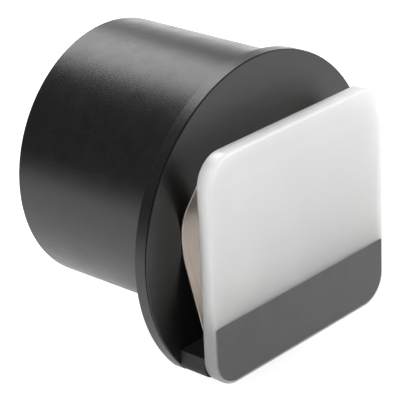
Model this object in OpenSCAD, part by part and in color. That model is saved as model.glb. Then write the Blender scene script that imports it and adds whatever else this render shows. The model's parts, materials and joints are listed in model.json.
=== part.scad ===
// Slide copying adapter for a camera lens.
// +Y runs along the barrel towards the lens, -Y towards the diffuser, +Z is up.
// The origin is on the barrel's axis, in the shoulder plane where the lens thread begins.
// Millimetres throughout.

/* [Lens end] */
// Radius of the filter thread that screws into the lens
lens_thread_r = 26; // [25.5:0.25:26.75]
// Length of the filter thread behind its shoulder
lens_thread_len = 3; // [2.4:0.1:4]
// How far the barrel's rear edge covers the thread when it is pushed right in
rear_cover = 1.6; // [0.6:0.1:2.4]

/* [Barrel] */
// Length from the flange's front face to the barrel's rear edge
body_len = 42.5; // [42:0.1:60]
// Thickness of the barrel's wall at its rear land
barrel_wall = 1.3; // [1.1:0.1:1.6]
// How far the barrel pulls out
extension = 22; // [10:0.5:22]

/* [Flange] */
// Radius of the flange
flange_r = 35.2; // [34:0.1:38]
// Thickness of the flange
flange_t = 3.15; // [2.8:0.05:3.6]
// How far the flange's centre lies below the barrel's axis
flange_drop = 5.75; // [4.5:0.05:6]
// How far the flat foot of flange and ledge lies below the barrel's axis
foot_drop = 30; // [29.8:0.1:31]
// Width of the film opening in the gate mask
gate_w = 36.4; // [34:0.1:37]
// Height of the film opening in the gate mask
gate_h = 24.4; // [22:0.1:26]

/* [Diffuser and slide slot] */
// Width of the diffuser
diffuser_w = 54.6; // [54.5:0.1:56.5]
// Height of the diffuser
diffuser_h = 49.7; // [46:0.1:52]
// Thickness of the diffuser
diffuser_t = 3.4; // [2.8:0.1:4.5]
// Corner radius at the diffuser's top
top_corner_r = 6.4; // [3:0.1:9]
// Corner radius at the diffuser's foot
foot_corner_r = 6.4; // [4:0.1:8]
// Height of the label band
label_h = 13.9; // [10:0.1:16]
// Side of the square slide mount, which stands on the ledge centred on the axis
slide_side = 50; // [49:0.1:51]
// Gap between the flange's face and the diffuser's back
slot_gap = 6.6; // [6:0.1:8]

/* [Leaf springs] */
// Width of each leaf spring
leaf_w = 5.5; // [4:0.1:5.5]
// Thickness of each leaf spring
leaf_t = 0.3; // [0.2:0.05:0.3]
// Lean of the leg between the foot and the crown of the bow
leg_lean = 17; // [15:0.5:19]
// Lean of the lead-in above the crown
lead_lean = 28; // [20:0.5:30]

/* [Lock screw] */
// Radius of the knurled knob
knob_r = 5; // [4:0.1:6]
// Height of the knurled knob
knob_h = 5.6; // [4:0.1:8]
// Number of grooves in the knurl
knurl_count = 36; // [24:1:40]

/* [Hidden] */
$fn = 96;
fit = 0.05;               // radial clearance of a running fit
seat = 0.02;              // clearance of a fixed fit
chamfer = 0.3;

// Radii of the telescoping tubes, from the lens thread outwards
shoulder_w = 0.95;
tube_r = lens_thread_r + shoulder_w;
land_r = tube_r + fit;
bore_r = land_r + 0.4;
barrel_r = land_r + barrel_wall;
tube_bore_r = lens_thread_r - 0.4;
groove_r = tube_r - 0.75;
tube_front_bore_r = tube_bore_r - 0.7;
thread_ring_bore_r = tube_bore_r - 1.2;

// Stations along the axis
rear_y = rear_cover;
face_y = rear_y - body_len;
flange_back_y = face_y + flange_t;
lip_t = 2;
lip_y = flange_back_y + lip_t;
tube_front_y = lip_y + 0.55;
ring_w = 1.15;            // width of the retaining ring
guide_w = 2.85;
side_play = 0.1;
guide_y = tube_front_y + ring_w + side_play;
groove_end_y = guide_y + guide_w + side_play;
land_front_y = groove_end_y + extension + 0.4;
baffle_y = groove_end_y + 1;
baffle_t = 0.8;
clip_w = 0.5;             // the baffle's clip is a square wire
clip_turn = 335;
thread_ring_y = -5.5;

// Grub screws of the thread ring
grub_y = -2.6;
grub_r = 0.8;
grub_angles = [90, 210, 330];

// The retaining ring's two slots for a pin spanner
spanner_w = 2;
spanner_d = 0.5;

// Gate
mask_r = lens_thread_r + 0.5;
mask_t = 0.6;
gate_corner_r = 0.8;
window_step = 0.6;        // the flange's window stands back from the mask's opening
window_corner_r = 2.8;
lip_r = norm([gate_w, gate_h] / 2 + window_step * [1, 1]) + 0.25;
baffle_r = lip_r - 0.6;

// Diffuser, label and ledge
diffuser_back_y = face_y - slot_gap;
diffuser_front_y = diffuser_back_y - diffuser_t;
ledge_top = -slide_side / 2 - 0.1;
foot_lip = 1.6;           // how far the diffuser's foot reaches below the flat of flange and ledge
foot_z = -foot_drop - foot_lip;
diffuser_top = foot_z + diffuser_h;
label_t = 0.5;
label_inset = 0.7;
label_top = foot_z + label_h;
ledge_inset = 0.4;
ledge_corner_r = 2.5;

// M2 countersunk screws
screw_r = 1;
screw_head_r = 1.8;
screw_edge = 0.2;         // straight edge of the head, and chamfer of the tip
driver_slot_w = 0.45;
driver_slot_d = 0.4;
flange_screw_pitch_r = (lip_r + bore_r) / 2;
flange_screw_len = lip_t + flange_t - 0.6;
ledge_screw_x = 14;
ledge_screw_z = ledge_top - 2.6;
ledge_screw_len = flange_t + 3.6;
leaf_x = slide_side / 2 - leaf_w / 2;
diffuser_screw_z = ledge_top - 2.3;
diffuser_screw_len = diffuser_t - label_t + 3.3;

// Leaf spring, in distances in front of the flange's face
leaf_air = 0.05;
crown_z = -1.5;
crown_y = face_y - leaf_air - leaf_t / 2;
leg_bow_r = 22;
lead_bow_r = 16;
foot_y = diffuser_back_y + leaf_air + leaf_t / 2;
foot_bend_r = 2;
leaf_end_z = ledge_top - 3.7;
lead_tip_y = diffuser_back_y + 0.45;
recess_play = 0.1;
seat_clear_h = 2;         // height above the ledge at which the strip still stands behind the seat

// Centre line of a leaf spring as [y, z, lean], from the end of its foot up to its lead-in's tip
leg_top = [crown_y - leg_bow_r * (1 - cos(leg_lean)), crown_z - leg_bow_r * sin(leg_lean)];
leg_low_y = foot_y + foot_bend_r * (1 - cos(leg_lean));
leg_low_z = leg_top[1] - (leg_top[0] - leg_low_y) / tan(leg_lean);
lead_low = [crown_y - lead_bow_r * (1 - cos(lead_lean)), crown_z + lead_bow_r * sin(lead_lean)];
leaf_line = concat(
    [[foot_y, leaf_end_z, 0]],
    [for (i = [0 : 4]) let (a = leg_lean * i / 4)
        [foot_y + foot_bend_r * (1 - cos(a)),
         leg_low_z - foot_bend_r * (sin(leg_lean) - sin(a)), a]],
    [for (i = [0 : 12]) let (a = leg_lean * (1 - i / 12))
        [crown_y - leg_bow_r * (1 - cos(a)), crown_z - leg_bow_r * sin(a), a]],
    [for (i = [1 : 12]) let (a = lead_lean * i / 12)
        [crown_y - lead_bow_r * (1 - cos(a)), crown_z + lead_bow_r * sin(a), -a]],
    [[lead_tip_y, lead_low[1] + (lead_low[0] - lead_tip_y) / tan(lead_lean), -lead_lean]]
);
seat_back_y = leg_low_y + (ledge_top + seat_clear_h - leg_low_z) * tan(leg_lean) + leaf_t;

// Lock screw, on the barrel's right-hand side
stud_r = 1.5;
neck_r = 0.6;             // the stud's neck, on which the pad swivels
pad_r = 1.6;
pad_t = 1;
pad_x = tube_r + 0.03;
pad_web = 0.35;           // thickness of the pad in front of the neck
pad_travel = 1;           // two turns of the stud's thread
bush_r = 3.6;
bush_neck_r = 2.6;
bush_seat_x = barrel_r - 0.25;
bush_out_x = barrel_r + 2;
bush_shoulder_x = pad_x + pad_t + pad_travel + seat;
lock_y = land_front_y + bush_r + 0.5;
knob_x = bush_out_x + 0.5;
knob_hub_r = 3;
knob_hub_h = 0.7;
knob_cap_t = 1.45;        // blind end of the knob, beyond the stud's seat
knurl_groove_r = 0.35;

black = [0.07, 0.07, 0.07];
dull_black = [0.12, 0.12, 0.12];
opal = [0.9, 0.9, 0.89];
label_grey = [0.33, 0.33, 0.33];
strip_metal = [0.74, 0.66, 0.6];
steel = [0.6, 0.6, 0.62];
brass = [0.72, 0.58, 0.3];
nylon = [0.85, 0.83, 0.76];

// Turned shape about the barrel's axis: the profile's points are [radius, y].
module turned(profile) {
    rotate([-90, 0, 0]) rotate_extrude() polygon(profile);
}

// Turned ring of plain rectangular section.
module ring(inner, outer, y0, y1) {
    turned([[inner, y0], [outer, y0], [outer, y1], [inner, y1]]);
}

// Plate cut from a flat outline of [x, z], between two stations along the axis.
module plate(y0, y1) {
    translate([0, y1, 0]) rotate([90, 0, 0]) linear_extrude(y1 - y0) children();
}

// Round bar or hole along the axis direction.
module bar(x, z, r, y0, y1) {
    translate([x, y0, z]) rotate([-90, 0, 0]) cylinder(r = r, h = y1 - y0);
}

// Turned shape about the lock screw's axis: the profile's points are [radius, x].
module lock_turned(profile) {
    translate([0, lock_y, 0]) rotate([0, 90, 0]) rotate_extrude() polygon(profile);
}

// The film opening, centred on the axis and made larger all round by a margin.
module film_opening(margin = 0, r = gate_corner_r) {
    w = gate_w + 2 * margin;
    h = gate_h + 2 * margin;
    square([w, h - 2 * r], center = true);
    square([w - 2 * r, h], center = true);
    for (x = [-1, 1], z = [-1, 1])
        translate([x * (w / 2 - r), z * (h / 2 - r)]) circle(r);
}

// The diffuser's outline, made smaller all round by an inset.
module card(inset = 0) {
    half = diffuser_w / 2 - inset;
    low = foot_z + inset;
    high = diffuser_top - inset;
    foot_r = foot_corner_r - inset;
    top_r = top_corner_r - inset;
    translate([-half, low + foot_r]) square([2 * half, high - top_r - low - foot_r]);
    translate([-half + foot_r, low]) square([2 * (half - foot_r), foot_r]);
    translate([-half + top_r, high - top_r]) square([2 * (half - top_r), top_r]);
    for (side = [-1, 1]) {
        translate([side * (half - foot_r), low + foot_r]) circle(foot_r);
        translate([side * (half - top_r), high - top_r]) circle(top_r);
    }
}

// The label's outline: the foot of the card.
module label_outline(inset, top) {
    intersection() {
        card(inset);
        translate([-diffuser_w, foot_z - 1]) square([2 * diffuser_w, top - foot_z + 1]);
    }
}

// The ledge's outline, level at its top and rounded at its lower corners.
module ledge_outline() {
    half = diffuser_w / 2 - ledge_inset;
    r = ledge_corner_r;
    translate([-half, r - foot_drop]) square([2 * half, ledge_top + foot_drop - r]);
    translate([r - half, -foot_drop]) square([2 * (half - r), r]);
    for (side = [-1, 1])
        translate([side * (half - r), r - foot_drop]) circle(r);
}

// Countersunk screw along +Y from its head's face at the origin.
module countersunk_screw(length) {
    difference() {
        rotate([-90, 0, 0]) rotate_extrude() polygon([
            [0, 0], [screw_head_r, 0], [screw_head_r, screw_edge],
            [screw_r, screw_edge + screw_head_r - screw_r], [screw_r, length - screw_edge],
            [screw_r - screw_edge, length], [0, length]
        ]);
        cube([2 * screw_head_r + 1, 2 * driver_slot_d, driver_slot_w], center = true);
    }
}

// The hole that such a screw fills, open past its head.
module countersunk_hole(length) {
    rotate([-90, 0, 0]) rotate_extrude() polygon([
        [0, -1], [screw_head_r + seat, -1], [screw_head_r + seat, screw_edge],
        [screw_r + seat, screw_edge + screw_head_r - screw_r], [screw_r + seat, length + 0.1],
        [0, length + 0.1]
    ]);
}

// Puts its children, made along +Y at the origin, where the flange screws go.
module at_flange_screws() {
    for (angle = [45 : 90 : 315])
        translate([flange_screw_pitch_r * cos(angle), lip_y, flange_screw_pitch_r * sin(angle)])
            rotate([0, 0, 180]) children();
}

module at_ledge_screws() {
    for (side = [-1, 1])
        translate([side * ledge_screw_x, flange_back_y, ledge_screw_z]) rotate([0, 0, 180]) children();
}

module at_diffuser_screws() {
    for (side = [-1, 1])
        translate([side * leaf_x, diffuser_front_y + label_t, diffuser_screw_z]) children();
}

// Recess in the ledge for a leaf spring's foot, stepped back at the top where the strip leans forward.
module leaf_recess(side) {
    w = leaf_w + 2 * recess_play;
    depth = leaf_t + 2 * leaf_air;
    deep = seat_back_y - diffuser_back_y;
    translate([side * leaf_x - w / 2, diffuser_back_y - 1, leaf_end_z - recess_play])
        cube([w, 1 + depth, foot_drop]);
    translate([side * leaf_x - w / 2, diffuser_back_y - 1, ledge_top - (deep - depth)])
        cube([w, 1 + deep, foot_drop]);
}

// Radial bars where the grub screws of the thread ring go.
module at_grub_screws(from_r, to_r, r) {
    for (angle = grub_angles)
        translate([0, grub_y, 0]) rotate([0, -angle, 0]) rotate([0, 90, 0])
            translate([0, 0, from_r]) cylinder(r = r, h = to_r - from_r);
}

module inner_tube() color(black) difference() {
    turned([
        [tube_front_bore_r, tube_front_y], [groove_r, tube_front_y],
        [groove_r, groove_end_y], [tube_r, groove_end_y],
        [tube_r, 0], [tube_bore_r, 0], [tube_bore_r, baffle_y],
        [tube_front_bore_r, baffle_y]
    ]);
    at_grub_screws(tube_bore_r - 1, tube_r + 1, grub_r + seat);
}

module lens_thread_ring() color(black) difference() {
    turned([
        [thread_ring_bore_r, thread_ring_y], [tube_bore_r - seat, thread_ring_y],
        [tube_bore_r - seat, 0], [lens_thread_r, 0],
        [lens_thread_r, lens_thread_len - 0.4], [lens_thread_r - 0.4, lens_thread_len],
        [thread_ring_bore_r, lens_thread_len]
    ]);
    at_grub_screws(thread_ring_bore_r + 0.5, tube_r, grub_r + seat);
}

module thread_ring_screws() color(steel)
    at_grub_screws(thread_ring_bore_r + 0.55, tube_r - 0.15, grub_r);

module retaining_ring() color(black) difference() {
    ring(groove_r + seat, bore_r - 0.2, tube_front_y, tube_front_y + ring_w);
    for (side = [-1, 1])
        translate([side * tube_r, tube_front_y, 0]) cube([4, 2 * spanner_d, spanner_w], center = true);
}

module light_baffle() color(dull_black)
    ring(baffle_r, tube_bore_r - seat, baffle_y, baffle_y + baffle_t);

module baffle_clip() color(steel) rotate([-90, 0, 0]) rotate_extrude(angle = clip_turn)
    translate([tube_bore_r - seat - clip_w, baffle_y + baffle_t + seat]) square(clip_w);

module guide_ring() color(nylon)
    ring(groove_r + fit, bore_r - fit, guide_y, guide_y + guide_w);

module barrel() color(black) difference() {
    turned([
        [lip_r, flange_back_y], [barrel_r, flange_back_y],
        [barrel_r, rear_y - chamfer], [barrel_r - chamfer, rear_y],
        [land_r + chamfer, rear_y], [land_r, rear_y - chamfer],
        [land_r, land_front_y], [bore_r, land_front_y],
        [bore_r, lip_y], [lip_r, lip_y]
    ]);
    at_flange_screws() countersunk_hole(flange_screw_len);
    lock_turned([[0, tube_r - 2], [bush_neck_r + seat, tube_r - 2],
        [bush_neck_r + seat, bush_seat_x], [bush_r + seat, bush_seat_x],
        [bush_r + seat, barrel_r + 1], [0, barrel_r + 1]]);
}

module flange() color(black) difference() {
    translate([0, 0, -flange_drop]) turned([
        [0, face_y], [flange_r - chamfer, face_y], [flange_r, face_y + chamfer],
        [flange_r, flange_back_y - chamfer], [flange_r - chamfer, flange_back_y],
        [0, flange_back_y]
    ]);
    translate([-flange_r, face_y - 1, -foot_drop - flange_r]) cube([2 * flange_r, flange_t + 2, flange_r]);
    plate(face_y - 1, flange_back_y + 1) film_opening(window_step, window_corner_r);
    bar(0, 0, mask_r + seat, flange_back_y - mask_t, flange_back_y + 1);
    at_flange_screws() countersunk_hole(flange_screw_len);
    at_ledge_screws() countersunk_hole(ledge_screw_len);
}

module flange_screws() color(steel) at_flange_screws() countersunk_screw(flange_screw_len);

module gate_mask() color(dull_black) difference() {
    bar(0, 0, mask_r, flange_back_y - mask_t, flange_back_y);
    plate(face_y, flange_back_y + 1) film_opening();
    at_flange_screws() countersunk_hole(flange_screw_len);
}

module slide_ledge() color(black) difference() {
    plate(diffuser_back_y, face_y) ledge_outline();
    for (side = [-1, 1]) leaf_recess(side);
    at_ledge_screws() countersunk_hole(ledge_screw_len);
    at_diffuser_screws() countersunk_hole(diffuser_screw_len);
}

module ledge_screws() color(steel) at_ledge_screws() countersunk_screw(ledge_screw_len);

module diffuser() color(opal) difference() {
    plate(diffuser_front_y, diffuser_back_y) card();
    plate(diffuser_front_y - 1, diffuser_front_y + label_t)
        label_outline(label_inset - seat, label_top + seat);
    at_diffuser_screws() countersunk_hole(diffuser_screw_len);
}

module diffuser_screws() color(steel) at_diffuser_screws() countersunk_screw(diffuser_screw_len);

module label_plate() color(label_grey)
    plate(diffuser_front_y, diffuser_front_y + label_t - seat) label_outline(label_inset, label_top);

module leaf_spring(side) color(strip_metal) difference() {
    translate([side * leaf_x - leaf_w / 2, 0, 0]) rotate([90, 0, 90]) linear_extrude(leaf_w)
        polygon(concat(
            [for (p = leaf_line) [p[0], p[1]] + leaf_t / 2 * [cos(p[2]), -sin(p[2])]],
            [for (i = [len(leaf_line) - 1 : -1 : 0]) let (p = leaf_line[i])
                [p[0], p[1]] - leaf_t / 2 * [cos(p[2]), -sin(p[2])]]
        ));
    bar(side * leaf_x, diffuser_screw_z, screw_r + 0.15, foot_y - 1, foot_y + 1);
}

module left_leaf_spring() leaf_spring(-1);

module right_leaf_spring() leaf_spring(1);

module lock_bush() color(brass) lock_turned([
    [pad_r + fit, land_r + 0.05], [bush_neck_r, land_r + 0.05],
    [bush_neck_r, bush_seat_x], [bush_r, bush_seat_x],
    [bush_r, bush_out_x - chamfer], [bush_r - chamfer, bush_out_x],
    [stud_r + fit, bush_out_x], [stud_r + fit, bush_shoulder_x],
    [pad_r + fit, bush_shoulder_x]
]);

module lock_pad() color(nylon) lock_turned([
    [0, pad_x], [pad_r, pad_x], [pad_r, pad_x + pad_t], [neck_r + fit, pad_x + pad_t],
    [neck_r + fit, pad_x + pad_web], [0, pad_x + pad_web]
]);

module lock_stud() color(steel) lock_turned([
    [0, pad_x + pad_web + fit], [neck_r, pad_x + pad_web + fit], [neck_r, pad_x + pad_t + fit],
    [stud_r, pad_x + pad_t + fit], [stud_r, knob_x + knob_h - knob_cap_t - fit],
    [0, knob_x + knob_h - knob_cap_t - fit]
]);

module lock_knob() color(black) difference() {
    edge = 0.5;
    lock_turned([
        [stud_r + seat, knob_x], [knob_hub_r, knob_x], [knob_hub_r, knob_x + knob_hub_h],
        [knob_r - edge, knob_x + knob_hub_h], [knob_r, knob_x + knob_hub_h + edge],
        [knob_r, knob_x + knob_h - edge], [knob_r - edge, knob_x + knob_h],
        [0, knob_x + knob_h], [0, knob_x + knob_h - knob_cap_t],
        [stud_r + seat, knob_x + knob_h - knob_cap_t]
    ]);
    for (i = [0 : knurl_count - 1])
        translate([knob_x + knob_hub_h - 0.2, lock_y, 0]) rotate([360 * i / knurl_count, 0, 0])
            translate([0, knob_r + 0.1, 0]) rotate([0, 90, 0])
                cylinder(r = knurl_groove_r, h = knob_h);
}

inner_tube();
lens_thread_ring();
thread_ring_screws();
retaining_ring();
light_baffle();
baffle_clip();
guide_ring();
barrel();
flange();
flange_screws();
gate_mask();
slide_ledge();
ledge_screws();
diffuser();
diffuser_screws();
label_plate();
left_leaf_spring();
right_leaf_spring();
lock_bush();
lock_pad();
lock_stud();
lock_knob();
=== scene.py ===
# Slide copying adapter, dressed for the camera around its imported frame.
# +Y runs along the barrel towards the lens, -Y towards the diffuser, +Z is up, and the barrel's axis
# is the Y axis. Pieces are modelled in millimetres and made metres when they are put in place.

import json
import math

import bpy
import bmesh
from mathutils import Matrix, Vector

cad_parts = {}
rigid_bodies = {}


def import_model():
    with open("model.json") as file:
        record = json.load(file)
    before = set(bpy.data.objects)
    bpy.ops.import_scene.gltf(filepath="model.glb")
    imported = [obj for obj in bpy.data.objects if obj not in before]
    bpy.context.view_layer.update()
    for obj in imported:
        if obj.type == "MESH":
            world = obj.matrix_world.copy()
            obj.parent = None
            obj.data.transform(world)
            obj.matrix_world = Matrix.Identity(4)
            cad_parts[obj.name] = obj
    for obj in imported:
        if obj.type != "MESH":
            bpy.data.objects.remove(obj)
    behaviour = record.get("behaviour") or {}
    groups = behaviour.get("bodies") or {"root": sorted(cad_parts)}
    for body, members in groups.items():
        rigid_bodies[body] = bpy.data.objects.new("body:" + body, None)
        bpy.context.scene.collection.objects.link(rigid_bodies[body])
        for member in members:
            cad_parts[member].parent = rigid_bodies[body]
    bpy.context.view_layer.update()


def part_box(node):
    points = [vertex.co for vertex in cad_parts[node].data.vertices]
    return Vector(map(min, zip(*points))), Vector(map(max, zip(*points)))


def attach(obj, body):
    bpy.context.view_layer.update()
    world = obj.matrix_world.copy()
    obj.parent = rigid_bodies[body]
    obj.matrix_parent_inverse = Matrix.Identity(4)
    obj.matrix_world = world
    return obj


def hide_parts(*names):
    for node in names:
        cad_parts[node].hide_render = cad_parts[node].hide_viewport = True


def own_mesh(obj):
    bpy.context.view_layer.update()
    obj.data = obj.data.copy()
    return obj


scene = bpy.context.scene
for start_object in list(bpy.data.objects):
    bpy.data.objects.remove(start_object, do_unlink=True)

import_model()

MM = 0.001


def cad(node):
    """Lowest and highest corner of a node at rest, in millimetres."""
    lo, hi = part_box(node)
    return lo / MM, hi / MM


# ---- sizes taken from the frame

BARREL_LO, BARREL_HI = cad("barrel")
FLANGE_LO, FLANGE_HI = cad("flange")
MASK_LO, MASK_HI = cad("gate_mask")
TUBE_LO, TUBE_HI = cad("inner_tube")
THREAD_LO, THREAD_HI = cad("lens_thread_ring")
NUT_LO, NUT_HI = cad("retaining_ring")
GUIDE_LO, GUIDE_HI = cad("guide_ring")
BAFFLE_LO, BAFFLE_HI = cad("light_baffle")
CLIP_LO, CLIP_HI = cad("baffle_clip")
LEDGE_LO, LEDGE_HI = cad("slide_ledge")
PLATE_LO, PLATE_HI = cad("diffuser")
LABEL_LO, LABEL_HI = cad("label_plate")
LEAF_LO, LEAF_HI = cad("right_leaf_spring")
BUSH_LO, BUSH_HI = cad("lock_bush")
PAD_LO, PAD_HI = cad("lock_pad")
STUD_LO, STUD_HI = cad("lock_stud")
KNOB_LO, KNOB_HI = cad("lock_knob")

BARREL_R = BARREL_HI.z
FLANGE_R = FLANGE_HI.x
FLANGE_Z = FLANGE_HI.z - FLANGE_R
TUBE_R = TUBE_HI.z
KNOB_R = KNOB_HI.z
KNOB_Y = (KNOB_HI.y + KNOB_LO.y) / 2
LEAF_X = (LEAF_HI.x + LEAF_LO.x) / 2
LEAF_W = LEAF_HI.x - LEAF_LO.x

# ---- sizes inside the pieces, mm

FACETS = 256                    # facets round a turned piece
HOLE_FACETS = 48                # facets round a drilled hole
MERGE = 1e-4                    # points nearer than this become one
SHARP = math.radians(35)        # an edge that turns more than this stays sharp
SEAT = 0.02                     # clearance of a fixed fit
RUN = 0.05                      # clearance of a running fit
PAST = 1.0                      # how far a cutter reaches past what it cuts

LIP_R = 23.0                    # the barrel's front lip
LIP_Y = -35.75
LAND_R = 27.0                   # rear land that slides on the tube
LAND_Y = -8.6
BARREL_BORE_R = 27.4

TUBE_BORE_R = 25.6
TUBE_FRONT_BORE_R = 24.9
GROOVE_R = 26.2                 # groove for the guide ring
GROOVE_Y = -31.0
STEP_Y = -30.0                  # where the bore widens, and the baffle rests
RIB_PITCH = 0.5                 # anti-reflection ribs in the tube's bore
RIB_DEPTH = 0.22
RIB_SLOPE = 0.2                 # slope of the bore at either end of the ribbed stretch
RIB_FREE = 0.4                  # bore of full depth without ribs at either end
PLAIN_BORE = (0.3, 0.6)         # smooth bore left beside the clip and beside the thread ring

THREAD_BORE_R = 24.4
THREAD_PITCH = 0.75
THREAD_TURNS = 2.75
THREAD_CHAMFER = 0.3

GRUB_Y = -2.6
GRUB_R = 0.8
GRUB_ANGLES = (90, 210, 330)
GRUB_ENDS = (0.55, 0.15)        # its tip outside the ring's bore, its slot below the tube's surface
GRUB_SLOT = (0.3, 0.45)         # width and depth of its driver slot

PIN_SLOT = (2.0, 0.5)           # width and depth of the retaining ring's slots
BAFFLE_BORE_R = 22.4
KNIFE = (1.2, 0.12)             # the baffle's thinned edge: its width, and its thickness at the bore
CLIP_FROM = -2                  # degrees round the axis
CLIP_SWEEP = 331

GATE_W = 36.4
GATE_H = 24.4
GATE_CORNER_R = 0.8
WINDOW_STEP = 0.6
WINDOW_CORNER_R = 2.8
RIM_GROOVE = (0.14, 0.38)       # fine groove round the flange's rim, from its face
RIM_GROOVE_DEPTH = 0.35

TOP_CORNER_R = 6.4
FOOT_CORNER_R = 6.4
LABEL_INSET = 0.7
LABEL_BED = 0.5                 # how deep the label's bed is sunk in the diffuser
LEDGE_CORNER_R = 2.5
OPAL_PAINTED_SHADE_LOW = -18.0           # height where the painted shade on the opal plate is deepest
OPAL_PAINTED_SHADE_TOP = 12.0          # height above which no painted shade greys it

SCREW_R = 1.0                   # M2 countersunk
SCREW_HEAD_R = 1.8
SCREW_RIM = 0.2                 # cylindrical rim of the head
SCREW_NECK = SCREW_RIM + SCREW_HEAD_R - SCREW_R     # where the head's cone ends
SCREW_SLOT = (0.44, 0.4)        # width and depth of its driver slot
SCREW_PITCH = 0.4
SCREW_PLAY = 0.1                # depth of a hole past its screw
FLANGE_SCREW_R = 25.2           # pitch circle
FLANGE_SCREW_LEN = 4.55
LEDGE_SCREW_AT = (14.0, -27.7)
LEDGE_SCREW_LEN = 6.75
PLATE_SCREW_Z = -27.4
PLATE_SCREW_LEN = 6.2

LEAF_T = 0.3
LEAF_EDGE = 0.06                # rounding of the strip's edges
LEAF_FOOT_Y = -47.3             # middle of the strip's clamped foot
LEAF_CROWN_Z = -1.5
LEG_LEAN = math.radians(17)
LEAD_LEAN = math.radians(28)
LEG_BOW_R = 22.0
LEAD_BOW_R = 16.0
FOOT_BEND_R = 2.0
LEAF_HOLE_R = 1.15
LEAF_AIR = 0.1                  # clearance round the strip in the ledge
LEAF_BED = 0.4                  # depth of the ledge's recess for the clamped foot
LEAF_STEP = (0.7, 1.1)          # height and depth of its deeper step, where the strip leans away

BUSH_NECK_R = 2.6
BUSH_SEAT_X = 28.05
PAD_TRAVEL = 1.0
PAD_BORE_R = 0.65
PAD_WEB = 0.35                  # thickness of the pad under the screw's tip
STUD_R = 1.5
STUD_PITCH = 0.5
STUD_NECK_R = 0.6
STUD_GRIP = 1.3                 # plain length that the knob is pressed on
HUB_R = 3.0
HUB_LEN = 0.7
DISH = (1.3, 1.6, 0.3)          # the knob's dished end: outer and inner edge from the rim, depth
KNOB_CAP = 1.45                 # thickness of the knob's end over the stud
KNURL_COUNT = 36
KNURL_GROOVE_R = 0.35
KNURL_AXIS = 0.1                # how far outside the rim the grooves' axes lie

# ---- the photograph's camera

PICTURE = 400                   # pixels along a side
SENSOR = 36.0                   # mm
AZIMUTH = math.radians(-47.208)
ELEVATION = math.radians(23.71)
ROLL = math.radians(-2.624)
DISTANCE = 404.812              # mm from the target
FOCAL = 1982.951                # pixels
TARGET_PIXEL = (262.993, 191.859)


def photo_camera():
    """The camera at the photograph's place; its target is the barrel's axis in the flange's face."""
    target = Vector((0, FLANGE_LO.y, 0))
    back = Vector((math.sin(AZIMUTH) * math.cos(ELEVATION),
                   -math.cos(AZIMUTH) * math.cos(ELEVATION), math.sin(ELEVATION)))
    level = Vector((0, 0, 1)).cross(back).normalized()
    above = back.cross(level)
    right = math.cos(ROLL) * level + math.sin(ROLL) * above
    up = math.cos(ROLL) * above - math.sin(ROLL) * level
    per_pixel = DISTANCE / FOCAL
    place = (target + back * DISTANCE - right * (TARGET_PIXEL[0] - PICTURE / 2) * per_pixel
             + up * (TARGET_PIXEL[1] - PICTURE / 2) * per_pixel)
    data = bpy.data.cameras.new("photo_camera")
    data.sensor_width = SENSOR
    data.lens = SENSOR * FOCAL / PICTURE
    data.clip_start = 10 * MM
    camera = bpy.data.objects.new("photo_camera", data)
    camera.matrix_world = Matrix.Translation(place * MM) @ Matrix((right, up, back)).transposed().to_4x4()
    scene.collection.objects.link(camera)
    scene.camera = camera


# ---- materials

def colour(code):
    """Linear RGBA of an sRGB hex code."""
    parts = [int(code[i:i + 2], 16) / 255 for i in (1, 3, 5)]
    return (*(p / 12.92 if p <= 0.04045 else ((p + 0.055) / 1.055) ** 2.4 for p in parts), 1.0)


def add(tree, kind, links=None, **settings):
    """Add a node. settings are its properties; links gives each input a value or another node's output."""
    made = tree.nodes.new(kind)
    for name, value in settings.items():
        setattr(made, name, value)
    for name, value in (links or {}).items():
        if isinstance(value, bpy.types.NodeSocket):
            tree.links.new(value, made.inputs[name])
        else:
            made.inputs[name].default_value = value
    return made


def surface(name, base, roughness, **sockets):
    """A material with one principled shader; returns it, its tree, shader and Object coordinates."""
    material = bpy.data.materials.new(name)
    material.use_nodes = True
    tree = material.node_tree
    tree.nodes.clear()
    shader = add(tree, "ShaderNodeBsdfPrincipled", {"Base Color": colour(base), "Roughness": roughness})
    for socket, value in sockets.items():
        shader.inputs[socket.replace("_", " ")].default_value = value
    add(tree, "ShaderNodeOutputMaterial", {"Surface": shader.outputs["BSDF"]})
    place = add(tree, "ShaderNodeTexCoord").outputs["Object"]
    return material, tree, shader, place


def grain(tree, place, size, detail=2.0, stretch=(1, 1, 1)):
    """Noise whose lumps are about size mm wide; stretch multiplies the lump's length along an axis."""
    scale = [1 / (size * MM * along) for along in stretch]
    scaled = add(tree, "ShaderNodeMapping", {"Vector": place, "Scale": scale})
    return add(tree, "ShaderNodeTexNoise",
               {"Vector": scaled.outputs["Vector"], "Scale": 1.0, "Detail": detail}).outputs["Fac"]


def spread(tree, value, low, high):
    """Take a noise, most of which lies between 0.3 and 0.7, to a range."""
    return add(tree, "ShaderNodeMapRange", {"Value": value, "From Min": 0.3, "From Max": 0.7,
                                            "To Min": low, "To Max": high}).outputs["Result"]


def emboss(tree, shader, height, depth):
    """Let a pattern stand up to depth mm proud."""
    bump = add(tree, "ShaderNodeBump", {"Height": height, "Distance": depth * MM, "Strength": 1.0})
    tree.links.new(bump.outputs["Normal"], shader.inputs["Normal"])


def two_tone(tree, shader, value, dark, light):
    """Base colour that drifts between two codes with a noise."""
    mixed = add(tree, "ShaderNodeMix", {"Factor": spread(tree, value, 0.0, 1.0)}, data_type="RGBA")
    mixed.inputs["A"].default_value = colour(dark)
    mixed.inputs["B"].default_value = colour(light)
    tree.links.new(mixed.outputs["Result"], shader.inputs["Base Color"])


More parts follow.
